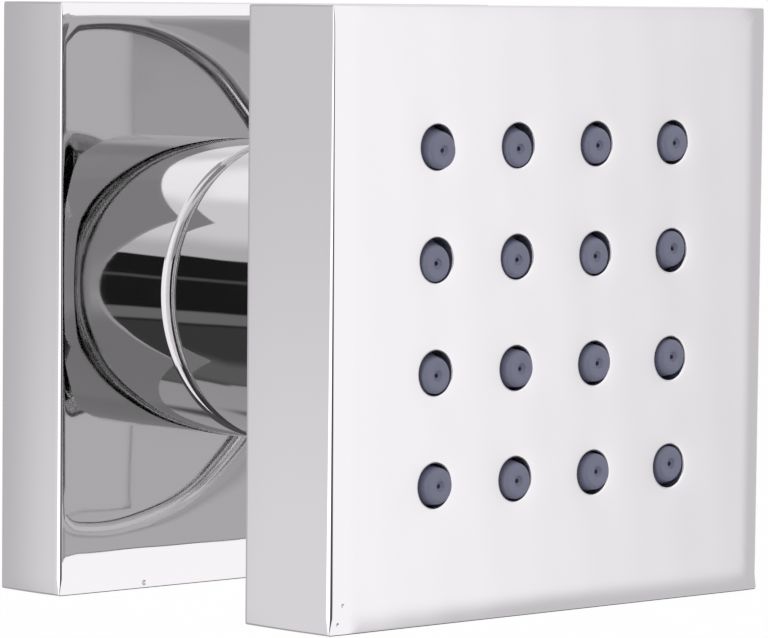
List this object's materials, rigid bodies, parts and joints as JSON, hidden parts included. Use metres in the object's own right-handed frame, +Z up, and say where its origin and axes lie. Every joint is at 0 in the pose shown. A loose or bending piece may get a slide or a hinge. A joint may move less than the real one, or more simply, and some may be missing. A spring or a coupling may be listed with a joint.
{
  "type": "square shower head",
  "caption": "Square body-spray shower head with a grid of soft nozzles, on a ball-jointed neck with a square wall plate and a threaded wall inlet.",
  "frame": {"origin": "on the axis of the inlet thread, in the plane of the finished wall", "axes": "+X right and +Z up as seen from in front of the spray face, +Y into the wall along the inlet thread"},
  "size_m": [0.05, 0.0549, 0.05],
  "materials": {
    "plate_chrome": "polished chrome plate",
    "head_chrome": "polished chrome plate",
    "neck_chrome": "polished chrome plate",
    "cover_chrome": "polished chrome plate",
    "ball_chrome": "polished chrome plate",
    "ring_chrome": "turned and chrome plated",
    "strainer_steel": "stainless wire",
    "seal_rubber": "moulded black rubber",
    "washer_rubber": "cut black rubber",
    "ball_rubber": "greased black rubber",
    "orange_rubber": "moulded orange rubber",
    "foam": "closed-cell foam",
    "nozzle_silicone": "matt blue-grey silicone",
    "regulator_plastic": "natural acetal",
    "seat_plastic": "white low-friction plastic",
    "spacer_plastic": "natural acetal",
    "jet_plastic": "moulded light grey plastic"
  },
  "bodies": {
    "wall_side": {"wall_plate": "plate_chrome", "wall_gasket": "foam", "neck_body": "neck_chrome", "foot_seal": "seal_rubber", "inlet_strainer": "strainer_steel", "strainer_washer": "washer_rubber", "flow_regulator": "regulator_plastic", "regulator_seal": "orange_rubber", "retaining_ring": "ring_chrome", "ring_seal": "seal_rubber"},
    "tilt_link": {"ball_seat": "seat_plastic"},
    "pan_link": {"ball_seal": "ball_rubber"},
    "head": {"ball_stem": "ball_chrome", "stem_washer": "washer_rubber", "back_cover": "cover_chrome", "cover_seal": "seal_rubber", "spacer_ring": "spacer_plastic", "jet_plate": "jet_plastic", "nozzle_mat": "nozzle_silicone", "head_shell": "head_chrome"}
  },
  "joints": [
    {"name": "head_tilt", "type": "hinge", "parent": "wall_side", "child": "tilt_link", "pos_m": [0, -0.0216, 0], "axis": [1, 0, 0], "range_deg": [-12, 12]},
    {"name": "head_pan", "type": "hinge", "parent": "tilt_link", "child": "pan_link", "pos_m": [0, -0.0216, 0], "axis": [0, 0, 1], "range_deg": [-12, 12]},
    {"name": "head_turn", "type": "hinge", "parent": "pan_link", "child": "head", "pos_m": [0, -0.0216, 0], "axis": [0, 1, 0], "continuous": true}
  ]
}
